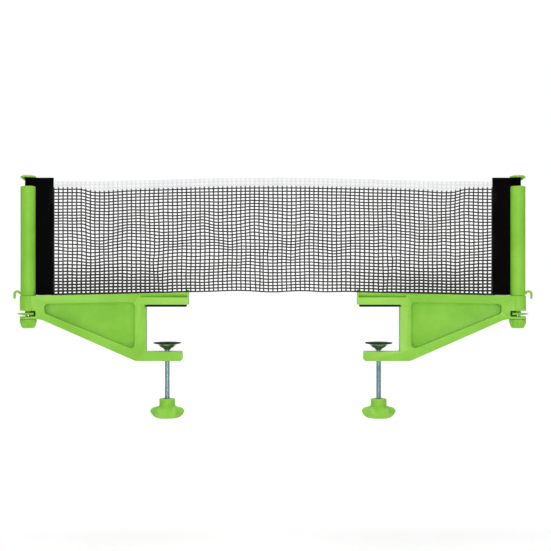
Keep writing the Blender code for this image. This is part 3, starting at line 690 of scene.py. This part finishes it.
def make_clamp_knob(name, side):
    """The star knob: a recessed hub flowing into six rounded lobes, with a dished underside."""
    x = side * SCREW_X
    top, bottom = KNOB_HIGH.z, KNOB_LOW.z
    bore = 3.4 * MM
    recess = 5.3 * MM
    stations = [
        (5.8, 0.0, 0.0), (8.3, 0.0, 0.0), (8.9, 0.0, 0.25), (9.25, 0.0, 0.7), (9.35, 0.0, 1.6),
        (9.35, 0.0, 7.2), (9.45, 0.05, 8.1), (9.8, 0.2, 8.7), (10.8, 0.6, 9.2), (12.6, 1.2, 9.8),
        (14.6, 1.8, 10.4), (15.9, 2.2, 11.3), (16.8, 2.5, 12.5), (17.3, 2.6, 13.8),
        (17.4, 2.6, 15.2), (17.35, 2.3, 16.5), (17.15, 1.8, 17.8), (16.6, 1.3, 19.2),
        (15.8, 0.9, 20.5), (14.8, 0.5, 21.6), (13.7, 0.3, 22.3), (12.2, 0.1, 22.6),
        (9.5, 0.0, 22.4), (4.0, 0.0, 22.1), (0.0, 0.0, 22.05),
    ]
    segments = 144
    rings = []
    for mean, swing, drop in stations:
        on_rim = max(0.0, min(1.0, (mean - 10.0) / 5.0)) * max(0.0, min(1.0, (16.5 - drop) / 3.0))
        ring = []
        for index in range(segments):
            angle = math.tau * index / segments
            wave = math.cos(6 * (angle + math.pi / 2) + math.pi)
            valley = 0.5 - 0.5 * wave
            radius = (mean + swing * (1 - 1.35 * valley)) * MM
            z = top - (drop + 2.2 * on_rim * valley) * MM
            ring.append((x + radius * math.cos(angle), radius * math.sin(angle), max(z, bottom)))
        rings.append(ring)
    well = [circle(x, r, top - depth * MM, segments)
            for r, depth in ((0, 14.2), (bore, 14.2), (bore, 2.6), (recess - 0.4 * MM, 2.6), (recess, 2.2),
                             (recess, 0.4))]
    mesh = loft_mesh(f"{name}_star", well + rings, capped=False)
    piece = add_piece(f"{name}_clamp_knob_shell", mesh, "green_plastic", 50)
    settle(piece, f"{name}_screw", "green_plastic", f"{name}_clamp_knob")


def thread_radius(phase, crest, depth):
    """Radius of a thread at a phase from 0 to 1 along its pitch: flat root and crest, smooth flanks."""
    ramp = abs(2 * phase - 1)
    rise = min(1.0, max(0.0, (ramp - 0.12) / 0.70))
    return crest - depth * (1 - rise * rise * (3 - 2 * rise))


def make_clamp_screw(name, side):
    """The clamp screw with its thread as geometry, fading at both ends, and the pin for the foot."""
    x = side * SCREW_X
    crest = 3.15 * MM
    depth = 0.50 * MM
    pitch = 1.0 * MM
    shoulder = -51.2 * MM
    start = SCREW_LOW.z
    segments = 28
    per_turn = 6
    rows = int((shoulder - start) / pitch * per_turn)
    rings = [[(x, 0, start)] * segments]
    for row in range(rows + 1):
        z = start + (shoulder - start) * row / rows
        fade = min(1.0, (shoulder - z) / (1.2 * MM), 0.3 + (z - start) / (1.0 * MM))
        ring = []
        for index in range(segments):
            turn = index / segments
            phase = ((z - start) / pitch - turn) % 1.0
            radius = thread_radius(phase, crest, depth)
            radius = (crest - depth) + (radius - crest + depth) * max(0.0, fade)
            angle = math.tau * turn
            ring.append((x + radius * math.cos(angle), radius * math.sin(angle), z))
        rings.append(ring)
    bush = 2.35 * MM
    collar = BALL_Z - bush
    for r, z in ((2.1 * MM, shoulder + 0.1 * MM), (2.1 * MM, collar), (1.5 * MM, collar),
                 (1.5 * MM, BALL_Z + bush), (2.3 * MM, BALL_Z + bush),
                 (2.3 * MM, BALL_Z + 2.7 * MM), (1.6 * MM, BALL_Z + 3.0 * MM),
                 (0, BALL_Z + 3.0 * MM)):
        rings.append(circle(x, r, z, segments))
    mesh = loft_mesh(f"{name}_thread", rings, capped=False)
    piece = add_piece(f"{name}_threaded_screw", mesh, "zinc_plated_steel", 50)
    settle(piece, f"{name}_screw", "zinc_plated_steel", f"{name}_clamp_screw")


def make_foot(name, side):
    """The swivel foot: a flared metal dish under a ribbed rubber disc."""
    x = side * SCREW_X
    high = RUBBER_HIGH.z
    seat = high - 1.65 * MM
    socket = 3.5 * MM
    cup = [
        (3.1 * MM, CUP_LOW.z, 0), (2.6 * MM, BALL_Z - 2.3 * MM, 0.3 * MM),
        (3.3 * MM, BALL_Z - 1.1 * MM, 1.0 * MM), (socket, BALL_Z, 0.5 * MM), (socket, seat, 0.2 * MM),
        (15.4 * MM, seat, 0.3 * MM), (15.8 * MM, seat - 0.2 * MM, 0.1 * MM),
        (11.6 * MM, seat - 1.25 * MM, 0.5 * MM), (10.8 * MM, seat - 2.0 * MM, 0.6 * MM),
        (7.1 * MM, BALL_Z - 0.5 * MM, 2.5 * MM), (4.6 * MM, BALL_Z - 1.6 * MM, 1.0 * MM),
        (4.0 * MM, CUP_LOW.z, 0.3 * MM), (3.1 * MM, CUP_LOW.z, 0),
    ]
    piece = add_piece(f"{name}_foot_cup_shell", turned_mesh(f"{name}_cup", cup, x, 96, 5),
                      "pressed_steel", 45)
    settle(piece, f"{name}_foot", "pressed_steel", f"{name}_foot_cup")
    disc = (RUBBER_HIGH.x - RUBBER_LOW.x) / 2
    under = seat + GAP
    rubber = [(0, under, 0), (disc - 0.6 * MM, under, 0.2 * MM), (disc, under + 0.35 * MM, 0.3 * MM),
              (disc - 0.5 * MM, under + 0.85 * MM, 0.3 * MM)]
    for ring in range(4):
        r = 14.6 * MM - ring * 1.3 * MM
        height = high - 0.4 * MM * (r - 9.0 * MM) / (3.6 * MM) - 0.2 * MM
        rubber.append((r + 0.35 * MM, height - 0.12 * MM, 0.1 * MM))
        rubber.append((r, height - 0.02 * MM, 0.1 * MM))
        rubber.append((r - 0.35 * MM, height, 0.1 * MM))
    rubber += [(9.2 * MM, high, 0.6 * MM), (0, high, 0)]
    piece = add_piece(f"{name}_foot_disc", turned_mesh(f"{name}_disc", rubber, x, 96, 3),
                      "black_rubber", 40)
    settle(piece, f"{name}_foot", "black_rubber", f"{name}_foot_rubber")


def make_upper_pad(name):
    """The rubber strip under the upper jaw, with fine grip ribs across its underside."""
    low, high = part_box(f"{name}_upper_pad")
    rib = 2.0 * MM
    count = int((high.x - low.x) / rib)
    sections = []
    for index in range(count * 8 + 1):
        share = index / (count * 8)
        x = low.x + (high.x - low.x) * share
        ripple = 0.22 * MM * (0.5 + 0.5 * math.cos(math.tau * share * count)) ** 3
        end = min(1.0, min(share, 1 - share) * (high.x - low.x) / (0.6 * MM))
        inset = 0.4 * MM * (1 - math.sqrt(max(0.0, 1 - (1 - end) ** 2)))
        y0, y1 = low.y + inset, high.y - inset
        z0 = low.z + ripple + inset
        sections.append([(x, y0 + 0.5 * MM, z0), (x, y0, z0 + 0.5 * MM), (x, y0, high.z),
                         (x, y1, high.z), (x, y1, z0 + 0.5 * MM), (x, y1 - 0.5 * MM, z0)])
    piece = add_piece(f"{name}_pad_strip", loft_mesh(f"{name}_pad", sections), "black_rubber", 40)
    settle(piece, "root", "black_rubber", f"{name}_upper_pad")


def make_height_tab(name):
    """The tapered tab in the barrel's slot, from the CAD shape with soft edges."""
    node = f"{name}_height_tab"
    piece = add_piece(f"{name}_tab_blade", refined_copy(node, node, 0.25 * MM, 2), "green_plastic", 40)
    settle(piece, f"{name}_height_seat", "green_plastic", node)


# ---- net ----------------------------------------------------------------------------------------

COLUMNS = 97
ROWS = 34
THREAD_HALF_WIDTH = 0.78 * MM
THREAD_HALF_DEPTH = 0.42 * MM
NET_CLEARANCE = 1.0 * MM
TAPE_OVERLAP = 1.6 * MM
SEWN_IN = 3.2 * MM
TAPE_FACE = 11.0 * MM
FOLD_DEPTH = 0.8 * MM
WEAVE_DEPTH = 0.30 * MM


def top_edge(x):
    """Height of the tape's top edge, which stands highest in the middle."""
    share = 0.5 + 0.5 * math.cos(math.pi * min(1.0, abs(x) / NET_REACH))
    low = TAPE_LOW.z + TAPE_FACE
    return low + (TAPE_HIGH.z - low) * share


def tape_height(x):
    """Width of the tape's face: narrow beside the sleeves, wide next to them, even in the middle."""
    from_sleeve = NET_REACH - abs(x)
    narrow = 1 / (1 + math.exp((from_sleeve - 38 * MM) / (3 * MM)))
    wide = math.exp(-((from_sleeve - 58 * MM) / (22 * MM)) ** 2)
    return TAPE_FACE - 3.2 * MM * narrow + 1.6 * MM * wide * (1 - narrow)


def ripple(x, z, seed, size):
    """Smooth noise from -1 to 1, for slack cloth."""
    return noise.noise(Vector((x / size, seed, z / size)))


def fold(x, z, foot_x, foot_z, head_x, head_z, width):
    """How close a point lies to a slanting fold line, from 0 to 1."""
    start = Vector((foot_x, foot_z))
    along = Vector((head_x, head_z)) - start
    here = Vector((x, z)) - start
    share = max(0.0, min(1.0, here.dot(along) / along.length_squared))
    distance = (here - along * share).length
    return math.exp(-(distance / width) ** 2)


def net_point(x, share):
    """A point on the slack netting: share runs from 0 at its lower edge to 1 at the tape. Each ripple
    gives its seed and the size of its waves."""
    top = top_edge(x) - tape_height(x) + TAPE_OVERLAP
    bottom = arm_top(POST_X - abs(x)) + NET_CLEARANCE
    free = max(0.0, min(1.0, (POST_X - ARM_REACH - abs(x)) / (20 * MM)))
    bottom += (0.2 + 1.3 * free) * MM * (0.5 + ripple(x, 0.3, 41.0, 40 * MM))
    z = bottom + (top - bottom) * share
    loose = math.sin(math.pi * min(1.0, share * 1.05))
    edge = min(1.0, (NET_REACH - abs(x)) / (30 * MM))
    y = 2.2 * MM * ripple(x, z * 0.5, 3.0, 60 * MM) * loose * edge
    y += 0.8 * MM * ripple(x, z, 7.0, 22 * MM) * loose * edge
    shift_x = 1.1 * MM * ripple(x, z, 11.0, 48 * MM) * edge * min(1.0, share * 4)
    broad = ripple(x, z * 0.7, 17.0, 40 * MM)
    shift_z = (3.4 * MM * broad + 1.3 * MM * ripple(x, z, 23.0, 15 * MM)) * loose
    for sign in (-1, 1):
        near = fold(x, z, sign * 126 * MM, 19 * MM, sign * 140 * MM, 55 * MM, 5 * MM)
        y -= 1.5 * MM * near * min(1.0, share * 6)
        shift_x += sign * 0.9 * MM * near
        shift_z -= 0.5 * MM * near
    centre = fold(x, z, -20 * MM, 19 * MM, -8 * MM, 62 * MM, 6 * MM)
    y -= 1.2 * MM * centre
    shift_x -= 1.6 * MM * centre * math.tanh((x + 14 * MM) / (4 * MM))
    shift_z -= 0.35 * MM * math.cos(math.tau * x / (2.2 * NET_REACH)) * loose
    return np.array([x + shift_x, y, z + shift_z])


def thread_paths(low, high):
    """Paths of the net's upright and level threads between two X places, passing over and under."""
    pitch = 2 * NET_REACH / (COLUMNS - 1)
    uprights = []
    levels = []
    for column in range(COLUMNS):
        x = -NET_REACH + pitch * column
        if not low - 1e-9 <= x < high - 1e-9:
            continue
        path = []
        for row in range(2 * (ROWS - 1) + 1):
            point = net_point(x, row / (2 * (ROWS - 1)))
            if row % 2 == 0:
                point[1] += WEAVE_DEPTH * (1 if (row // 2 + column) % 2 else -1)
            path.append(point)
        uprights.append(path)
    steps = int(round((high - low) / (pitch / 2)))
    for row in range(ROWS):
        path = []
        for step in range(steps + 1):
            x = low + (high - low) * step / steps
            column = (x + NET_REACH) / pitch
            point = net_point(x, row / (ROWS - 1))
            point[1] += WEAVE_DEPTH * math.cos(math.pi * (column + row))
            path.append(point)
        levels.append(path)
    return uprights, levels


def thread_half_widths(path):
    """Half the width of a thread along its path; threads widen by up to half towards the lower outer corners,
    which darkens the netting there.
    """
    path = np.asarray(path)
    outward = np.clip((np.abs(path[:, 0]) - 60 * MM) / (110 * MM), 0, 1)
    lowness = np.clip(1 - (path[:, 2] - BARREL_TOP) / (45 * MM), 0, 1)
    return (THREAD_HALF_WIDTH * (1 + 0.50 * outward * lowness))[:, None]


def join_tubes(name, groups):
    """One mesh of many thin tubes."""
    points = []
    faces = []
    for rings in groups:
        rows, sides = rings.shape[:2]
        base = len(points)
        points.extend(map(tuple, rings.reshape(-1, 3)))
        for row in range(rows - 1):
            for side in range(sides):
                following = (side + 1) % sides
                low = base + row * sides
                high = low + sides
                faces.append((low + side, high + side, high + following, low + following))
        faces.append(tuple(base + side for side in range(sides)))
        faces.append(tuple(base + (rows - 1) * sides + side for side in reversed(range(sides))))
    mesh = bpy.data.meshes.new(name)
    mesh.from_pydata(points, [], faces)
    return mesh


def make_net_half(name, side):
    """Half of the netting, from the middle to one sleeve."""
    if side < 0:
        uprights, levels = thread_paths(-NET_REACH, 0)
    else:
        uprights, levels = thread_paths(0, NET_REACH + 1e-6)
    for path in levels:
        end = path[0] if side < 0 else path[-1]
        tail = end + np.array([side * SEWN_IN, 0, 0])
        path.insert(0 if side < 0 else len(path), tail)
    tubes = [tube_rings(path, thread_half_widths(path), 6, THREAD_HALF_DEPTH) for path in uprights + levels]
    piece = add_piece(f"{name}_netting", join_tubes(f"{name}_threads", tubes), "black_netting", 60)
    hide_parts("net_mesh")
    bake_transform(piece)


def make_tape_half(name, side):
    """Half of the white tape: a strip folded over the cord, with the netting's relief showing."""
    pitch = 2 * NET_REACH / (COLUMNS - 1)
    row_pitch = (NET_HIGH.z - NET_LOW.z) / (ROWS - 1)
    outer = (TAPE_HIGH.y - TAPE_LOW.y) / 2 - 0.15 * MM
    across = 26
    turn = 0.16
    per_cell = 6
    count = int(NET_REACH / pitch * per_cell)
    rows = []
    shadow = []
    for index in range(count + 1):
        x = side * NET_REACH * index / count
        height = tape_height(x)
        crest = top_edge(x)
        lean = 0.5 * MM * ripple(x, 0.1, 5.0, 70 * MM)
        row = []
        for step in range(across + 1):
            share = step / across * 2 - 1
            if abs(share) > turn:
                down = (abs(share) - turn) / (1 - turn)
                z = crest - FOLD_DEPTH - down * (height - FOLD_DEPTH)
                y = math.copysign(outer, share)
                column = math.cos(math.tau * x / pitch) * 0.5 + 0.5
                level = math.cos(math.tau * (crest - z - 1.2 * MM) / row_pitch) * 0.5 + 0.5
                ends_show = max(0.0, (down - 0.86) / 0.14)
                under = max(column ** 6 * (1 + 1.2 * ends_show), level ** 6 * (1 - ends_show))
                under *= min(1.0, 8 * down)
                pull = 0.16 * MM * (1 - under) + 0.20 * MM * down
                y -= math.copysign(pull, share)
                z += 0.35 * MM * ripple(x, z, 9.0, 18 * MM) * down
            else:
                angle = share / turn * math.pi / 2
                y = outer * math.sin(angle)
                z = crest - FOLD_DEPTH * (1 - math.cos(angle))
                under = 0.0
            row.append((x, y + lean * 0.4, z))
            shadow.append(under)
        rows.append(row)
    mesh = loft_mesh(f"{name}_tape", rows, closed=False, capped=False)
    attribute = mesh.attributes.new("netting_under", "FLOAT", "POINT")
    attribute.data.foreach_set("value", shadow)
    piece = add_piece(f"{name}_tape_cloth", mesh, "white_tape", 60)
    solid = piece.modifiers.new("thickness", "SOLIDIFY")
    solid.thickness = 0.3 * MM
    solid.offset = -1
    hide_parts("net_top_tape")
    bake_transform(piece)


def sleeve_path():
    """Top view of the sleeve's cloth, from the net's edge round the rod and back, as (inward, y)."""
    loop = ROD_RADIUS + 0.62 * MM
    half_gap = 0.80 * MM
    leave = math.asin(half_gap / loop)
    path = [(SLEEVE_EDGE - SLEEVE_EDGE * 0.8 * step / 12, -half_gap) for step in range(13)]
    for step in range(27):
        angle = -leave - (math.tau - 2 * leave) * step / 26
        path.append((loop * math.cos(angle), loop * math.sin(angle)))
    path += [(SLEEVE_EDGE - SLEEVE_EDGE * 0.8 * step / 12, half_gap) for step in range(12, -1, -1)]
    return path


def make_sleeve(name, side):
    """The black sleeve: one cloth folded round the rod, its two edges sewn over the netting."""
    path = sleeve_path()
    low, high = SLEEVE_LOW.z, SLEEVE_HIGH.z
    count = 56
    rows = []
    for index in range(count + 1):
        share = index / count
        row = []
        for inward, y in path:
            outside = max(0.0, min(1.0, (inward - TUBE_RADIUS - GAP) / (4 * MM)))
            hem = low + (arm_top(inward) + GAP - low) * outside
            z = hem + (high - hem) * share
            free = max(0.0, min(1.0, (inward - 10 * MM) / (6 * MM)))
            slack = 0.28 * MM * ripple(inward, z, 21.0, 24 * MM) * free
            edge = 0.25 * MM * ripple(z, 0, 31.0, 30 * MM) * max(0.0, (inward - 20 * MM) / (10 * MM))
            pucker = 0.10 * MM * math.sin(z / (1.5 * MM)) * math.exp(-((inward - 26 * MM) / (1.2 * MM)) ** 2)
            row.append(post_point(side, inward + edge, y + slack + math.copysign(pucker, y), z))
        rows.append(row)
    mesh = loft_mesh(f"{name}_sleeve", rows, closed=False, capped=False)
    piece = add_piece(f"{name}_sleeve_cloth", mesh, "black_fabric", 60)
    solid = piece.modifiers.new("thickness", "SOLIDIFY")
    solid.thickness = 0.42 * MM
    solid.offset = 0
    settle(piece, f"{name}_height_seat", "black_fabric", f"{name}_net_sleeve")
    stitches = make_stitches(name, side)


def make_stitches(name, side):
    """Two rows of thread through the sleeve beside the netting, on both faces."""
    pitch = 2.6 * MM
    margin = 1.5 * MM
    seams = (25.9 * MM, 28.4 * MM)
    count = int((SLEEVE_HIGH.z - SLEEVE_LOW.z - 2 * margin) / pitch)
    tubes = []
    for inward in seams:
        for face in (-1, 1):
            for index in range(count):
                start = SLEEVE_LOW.z + margin + pitch * index
                path = []
                for step in range(7):
                    share = step / 6
                    lift = 0.62 * MM + 0.28 * MM * math.sin(math.pi * share)
                    path.append(post_point(side, inward, face * lift, start + pitch * 0.8 * share))
                tubes.append(tube_rings(path, 0.17 * MM, 6))
    mesh = join_tubes(f"{name}_stitching", tubes)
    piece = add_piece(f"{name}_sleeve_stitches", mesh, "black_netting", 60)
    return settle(piece, f"{name}_height_seat", "black_fabric")


def make_cord():
    """The cord under the tape's fold, following its edge."""
    low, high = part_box("net_top_cord")
    radius = (high.y - low.y) / 2
    path = []
    for x in np.linspace(low.x, high.x, 121):
        path.append((x, 0.2 * MM * ripple(x, 0.1, 5.0, 70 * MM), top_edge(x) - radius - 1.05 * MM))
    piece = add_piece("tape_cord", loft_mesh("cord", tube_rings(path, radius, 12)), "braided_cord", 60)
    settle(piece, "root", "braided_cord", "net_top_cord")


# ---- studio -------------------------------------------------------------------------------------


def make_camera():
    """Level camera square to the net, a little above the arms."""
    data = bpy.data.cameras.new("camera")
    camera = bpy.data.objects.new("camera", data)
    bpy.context.scene.collection.objects.link(camera)
    distance = 1.25
    frame_width = 0.6513
    side_shift = 0.0030
    height = 0.0369
    data.sensor_width = 36
    data.lens = data.sensor_width * distance / frame_width
    data.clip_start = 0.01
    camera.location = (side_shift, -distance, height)
    camera.rotation_euler = (math.radians(90), 0, 0)
    bpy.context.scene.camera = camera


def add_light(name, location, target, size, power):
    """A square soft light aimed at a point."""
    data = bpy.data.lights.new(name, "AREA")
    data.size = size
    data.energy = power
    light = bpy.data.objects.new(name, data)
    light.location = location
    direction = Vector(target) - Vector(location)
    light.rotation_euler = direction.to_track_quat("-Z", "Y").to_euler()
    bpy.context.scene.collection.objects.link(light)


def make_studio():
    """A pale floor that curves up into a backdrop, a sky that is brightest in front, and soft lights."""
    mesh = bpy.data.meshes.new("studio")
    floor_z = cad_box[0].z - 0.16
    front, back, bend = -3.0, 0.9, 0.8
    half_width = wall = 4.0
    profile = [(front, floor_z), (back, floor_z)]
    for step in range(1, 13):
        angle = math.radians(90 * step / 12)
        profile.append((back + bend * math.sin(angle), floor_z + bend * (1 - math.cos(angle))))
    profile.append((back + bend, floor_z + wall))
    points = []
    for y, z in profile:
        points += [(-half_width, y, z), (half_width, y, z)]
    faces = [(2 * i, 2 * i + 1, 2 * i + 3, 2 * i + 2) for i in range(len(profile) - 1)]
    mesh.from_pydata(points, [], faces)
    mesh.shade_smooth()
    mesh.materials.append(floor_material())
    floor = bpy.data.objects.new("studio_floor", mesh)
    bpy.context.scene.collection.objects.link(floor)
    world = bpy.data.worlds.new("studio")
    world.use_nodes = True
    sky = world.node_tree
    background = sky.nodes["Background"]
    where = add_node(sky, "ShaderNodeTexCoord").outputs["Generated"]
    split = add_node(sky, "ShaderNodeSeparateXYZ", links={"Vector": where})
    forward = math_node(sky, "MULTIPLY", split.outputs["Y"], -1.0)
    dome = ramp_node(sky, forward, (0.45, 0.45, 0.45), (1, 1, 1), 0.10, 0.85)
    sky.links.new(dome, background.inputs["Color"])
    background.inputs["Strength"].default_value = 0.45
    bpy.context.scene.world = world
    add_light("key", (-0.5, -1.4, 0.9), (0, 0, 0.03), 0.8, 1.5)
    add_light("front", (0.1, -1.8, 0.15), (0, 0, 0.0), 0.5, 6.5)
    add_light("low_fill", (0.0, -1.4, -0.3), (0, 0, -0.1), 0.7, 8)
    add_light("backdrop", (0, 0.3, 1.9), (0, 1.4, -0.1), 2.0, 42)
    bpy.context.scene.view_settings.view_transform = "Standard"
    bpy.context.scene.view_settings.look = "None"


# ---- assembly -----------------------------------------------------------------------------------

KEPT_FINISH = {
    "net_rod": "zinc_plated_steel",
    "height_carrier": "green_plastic",
    "adjuster_bolt": "zinc_plated_steel",
    "bolt_clip": "spring_steel",
    "screw_nut": "zinc_plated_steel",
    "swivel_bush": "white_nylon",
}


def finish_kept_nodes():
    """Give the CAD nodes that stay their materials."""
    for name in SIDES:
        for part, finish in KEPT_FINISH.items():
            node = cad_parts[f"{name}_{part}"]
            node.data.materials.clear()
            node.data.materials.append(FINISH[finish])


make_camera()
make_studio()
finish_kept_nodes()
for side_name, side_sign in SIDES.items():
    make_bracket(side_name, side_sign)
    make_post_tube(side_name, side_sign)
    make_rod_head(side_name, side_sign)
    make_height_knob(side_name, side_sign)
    make_height_tab(side_name)
    make_clamp_knob(side_name, side_sign)
    make_clamp_screw(side_name, side_sign)
    make_foot(side_name, side_sign)
    make_upper_pad(side_name)
    make_sleeve(side_name, side_sign)
make_cord()
for side_name, side_sign in SIDES.items():
    make_net_half(side_name, side_sign)
    make_tape_half(side_name, side_sign)
